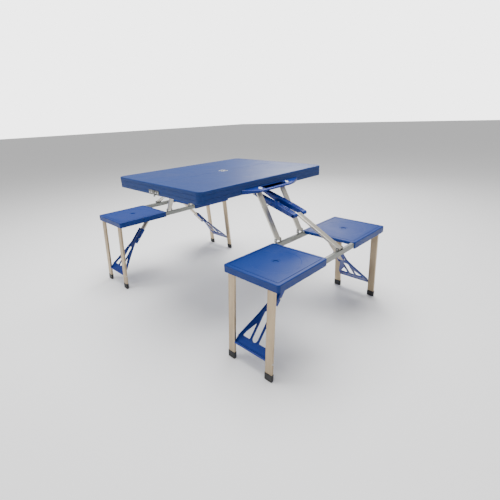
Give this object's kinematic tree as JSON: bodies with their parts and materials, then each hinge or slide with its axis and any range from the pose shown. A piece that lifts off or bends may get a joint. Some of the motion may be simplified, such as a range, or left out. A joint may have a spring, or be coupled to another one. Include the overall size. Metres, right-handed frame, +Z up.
{
  "type": "folding picnic table",
  "caption": "Folding picnic table: two hinged half tops with a parasol hole, attached seats on folding legs, and braces that let it close into a case.",
  "frame": {"origin": "on the floor under the centre of the top", "axes": "+X across the seam towards the right bench, +Y along the seam, +Z up"},
  "size_m": [1.458, 0.891, 0.7],
  "materials": {
    "top_plastic": "satin moulded blue",
    "seat_plastic": "satin moulded blue",
    "moulded_plastic": "semi-gloss moulded blue",
    "silver_tube": "satin anodised",
    "rail_tube": "dull mill finish",
    "zinc_steel": "zinc plated",
    "cap_rubber": "moulded black"
  },
  "bodies": {
    "left_half": {"tray_left": "top_plastic", "hinge_leaves_left": "zinc_steel", "hinge_screws_left": "zinc_steel", "strut_mounts_left": "zinc_steel", "bail_clips_left": "zinc_steel", "hinge_rivets": "zinc_steel"},
    "right_half": {"tray_right": "top_plastic", "hinge_leaves_right": "zinc_steel", "hinge_screws_right": "zinc_steel", "strut_mounts_right": "zinc_steel", "bail_clips_right": "zinc_steel"},
    "struts_right": {"strut_right_front": "silver_tube", "strut_right_back": "silver_tube", "strut_pins_right": "zinc_steel"},
    "cradle_right": {"cradle_right": "moulded_plastic"},
    "bail_right": {"bail_right": "zinc_steel"},
    "arm_right": {"arm_right": "silver_tube"},
    "bench_right": {"inner_rail_right": "rail_tube", "outer_rail_right": "rail_tube", "strut_shoes_right": "zinc_steel", "arm_clevis_right": "zinc_steel", "bench_pins_right": "zinc_steel", "seat_right_front": "seat_plastic", "seat_right_back": "seat_plastic", "seat_rods_right": "zinc_steel"},
    "legs_right_front": {"legs_right_front": "silver_tube", "foot_caps_right_front": "cap_rubber"},
    "brace_tube_right_front": {"brace_tube_right_front": "silver_tube"},
    "brace_fan_right_front": {"brace_fan_right_front": "moulded_plastic", "knee_pin_right_front": "zinc_steel"},
    "legs_right_back": {"legs_right_back": "silver_tube", "foot_caps_right_back": "cap_rubber"},
    "brace_tube_right_back": {"brace_tube_right_back": "silver_tube"},
    "brace_fan_right_back": {"brace_fan_right_back": "moulded_plastic", "knee_pin_right_back": "zinc_steel"},
    "struts_left": {"strut_left_front": "silver_tube", "strut_left_back": "silver_tube", "strut_pins_left": "zinc_steel"},
    "cradle_left": {"cradle_left": "moulded_plastic"},
    "bail_left": {"bail_left": "zinc_steel"},
    "arm_left": {"arm_left": "silver_tube"},
    "bench_left": {"inner_rail_left": "rail_tube", "outer_rail_left": "rail_tube", "strut_shoes_left": "zinc_steel", "arm_clevis_left": "zinc_steel", "bench_pins_left": "zinc_steel", "seat_left_front": "seat_plastic", "seat_left_back": "seat_plastic", "seat_rods_left": "zinc_steel"},
    "legs_left_front": {"legs_left_front": "silver_tube", "foot_caps_left_front": "cap_rubber"},
    "brace_tube_left_front": {"brace_tube_left_front": "silver_tube"},
    "brace_fan_left_front": {"brace_fan_left_front": "moulded_plastic", "knee_pin_left_front": "zinc_steel"},
    "legs_left_back": {"legs_left_back": "silver_tube", "foot_caps_left_back": "cap_rubber"},
    "brace_tube_left_back": {"brace_tube_left_back": "silver_tube"},
    "brace_fan_left_back": {"brace_fan_left_back": "moulded_plastic", "knee_pin_left_back": "zinc_steel"}
  },
  "joints": [
    {"name": "tray_fold", "type": "hinge", "parent": "left_half", "child": "right_half", "pos_m": [0, 0, 0.648], "axis": [0, 1, 0], "range_deg": [0, 65]},
    {"name": "bench_fold_right", "type": "hinge", "parent": "right_half", "child": "struts_right", "pos_m": [0.3065, 0, 0.6894], "axis": [0, 1, 0], "range_deg": [0, 118.76]},
    {"name": "bench_level_right", "type": "hinge", "parent": "struts_right", "child": "bench_right", "pos_m": [0.447, 0, 0.4334], "axis": [0, 1, 0], "range_deg": [-118.77, 0]},
    {"name": "cradle_turn_right", "type": "hinge", "parent": "struts_right", "child": "cradle_right", "pos_m": [0.36808, 0, 0.57719], "axis": [0, 1, 0], "range_deg": [0, 42.05]},
    {"name": "bail_swing_right", "type": "hinge", "parent": "right_half", "child": "bail_right", "pos_m": [0.084, 0, 0.69335], "axis": [0, 1, 0], "range_deg": [-19.3, 0]},
    {"name": "arm_swing_right", "type": "hinge", "parent": "bench_right", "child": "arm_right", "pos_m": [0.7165, 0, 0.4285], "axis": [0, 1, 0], "range_deg": [-30.31, 0]},
    {"name": "leg_fold_right_back", "type": "hinge", "parent": "bench_right", "child": "legs_right_back", "pos_m": [0.585, 0.41, 0.4025], "axis": [-1, 0, 0], "range_deg": [0, 94]},
    {"name": "brace_swing_right_back", "type": "hinge", "parent": "bench_right", "child": "brace_tube_right_back", "pos_m": [0.585, 0.124, 0.413], "axis": [-1, 0, 0], "range_deg": [-48.26, 0]},
    {"name": "fan_swing_right_back", "type": "hinge", "parent": "brace_tube_right_back", "child": "brace_fan_right_back", "pos_m": [0.585, 0.26292, 0.25733], "axis": [-1, 0, 0], "range_deg": [0, 180.01]},
    {"name": "leg_fold_right_front", "type": "hinge", "parent": "bench_right", "child": "legs_right_front", "pos_m": [0.585, -0.41, 0.4025], "axis": [1, 0, 0], "range_deg": [0, 94]},
    {"name": "brace_swing_right_front", "type": "hinge", "parent": "bench_right", "child": "brace_tube_right_front", "pos_m": [0.585, -0.124, 0.413], "axis": [1, 0, 0], "range_deg": [-48.26, 0]},
    {"name": "fan_swing_right_front", "type": "hinge", "parent": "brace_tube_right_front", "child": "brace_fan_right_front", "pos_m": [0.585, -0.26292, 0.25733], "axis": [1, 0, 0], "range_deg": [0, 180.01]},
    {"name": "bench_fold_left", "type": "hinge", "parent": "left_half", "child": "struts_left", "pos_m": [-0.3065, 0, 0.6894], "axis": [0, -1, 0], "range_deg": [0, 118.76]},
    {"name": "bench_level_left", "type": "hinge", "parent": "struts_left", "child": "bench_left", "pos_m": [-0.447, 0, 0.4334], "axis": [0, -1, 0], "range_deg": [-118.77, 0]},
    {"name": "cradle_turn_left", "type": "hinge", "parent": "struts_left", "child": "cradle_left", "pos_m": [-0.36808, 0, 0.57719], "axis": [0, -1, 0], "range_deg": [0, 42.05]},
    {"name": "bail_swing_left", "type": "hinge", "parent": "left_half", "child": "bail_left", "pos_m": [-0.084, 0, 0.69335], "axis": [0, -1, 0], "range_deg": [-19.3, 0]},
    {"name": "arm_swing_left", "type": "hinge", "parent": "bench_left", "child": "arm_left", "pos_m": [-0.7165, 0, 0.4285], "axis": [0, -1, 0], "range_deg": [-30.31, 0]},
    {"name": "leg_fold_left_back", "type": "hinge", "parent": "bench_left", "child": "legs_left_back", "pos_m": [-0.585, 0.41, 0.4025], "axis": [-1, 0, 0], "range_deg": [0, 94]},
    {"name": "brace_swing_left_back", "type": "hinge", "parent": "bench_left", "child": "brace_tube_left_back", "pos_m": [-0.585, 0.124, 0.413], "axis": [-1, 0, 0], "range_deg": [-48.26, 0]},
    {"name": "fan_swing_left_back", "type": "hinge", "parent": "brace_tube_left_back", "child": "brace_fan_left_back", "pos_m": [-0.585, 0.26292, 0.25733], "axis": [-1, 0, 0], "range_deg": [0, 180.01]},
    {"name": "leg_fold_left_front", "type": "hinge", "parent": "bench_left", "child": "legs_left_front", "pos_m": [-0.585, -0.41, 0.4025], "axis": [1, 0, 0], "range_deg": [0, 94]},
    {"name": "brace_swing_left_front", "type": "hinge", "parent": "bench_left", "child": "brace_tube_left_front", "pos_m": [-0.585, -0.124, 0.413], "axis": [1, 0, 0], "range_deg": [-48.26, 0]},
    {"name": "fan_swing_left_front", "type": "hinge", "parent": "brace_tube_left_front", "child": "brace_fan_left_front", "pos_m": [-0.585, -0.26292, 0.25733], "axis": [1, 0, 0], "range_deg": [0, 180.01]}
  ],
  "couplings": [
    {"joint": "bench_level_right", "follows": "bench_fold_right", "ratio": -1},
    {"joint": "cradle_turn_right", "follows": "bench_fold_right", "ratio": 0.354},
    {"joint": "bail_swing_right", "follows": "bench_fold_right", "ratio": -0.16245},
    {"joint": "arm_swing_right", "follows": "bench_fold_right", "ratio": -0.25514},
    {"joint": "brace_swing_right_back", "follows": "leg_fold_right_back", "ratio": -0.51334},
    {"joint": "fan_swing_right_back", "follows": "leg_fold_right_back", "ratio": 1.9149},
    {"joint": "brace_swing_right_front", "follows": "leg_fold_right_front", "ratio": -0.51334},
    {"joint": "fan_swing_right_front", "follows": "leg_fold_right_front", "ratio": 1.9149},
    {"joint": "bench_level_left", "follows": "bench_fold_left", "ratio": -1},
    {"joint": "cradle_turn_left", "follows": "bench_fold_left", "ratio": 0.354},
    {"joint": "bail_swing_left", "follows": "bench_fold_left", "ratio": -0.16245},
    {"joint": "arm_swing_left", "follows": "bench_fold_left", "ratio": -0.25514},
    {"joint": "brace_swing_left_back", "follows": "leg_fold_left_back", "ratio": -0.51334},
    {"joint": "fan_swing_left_back", "follows": "leg_fold_left_back", "ratio": 1.9149},
    {"joint": "brace_swing_left_front", "follows": "leg_fold_left_front", "ratio": -0.51334},
    {"joint": "fan_swing_left_front", "follows": "leg_fold_left_front", "ratio": 1.9149}
  ]
}
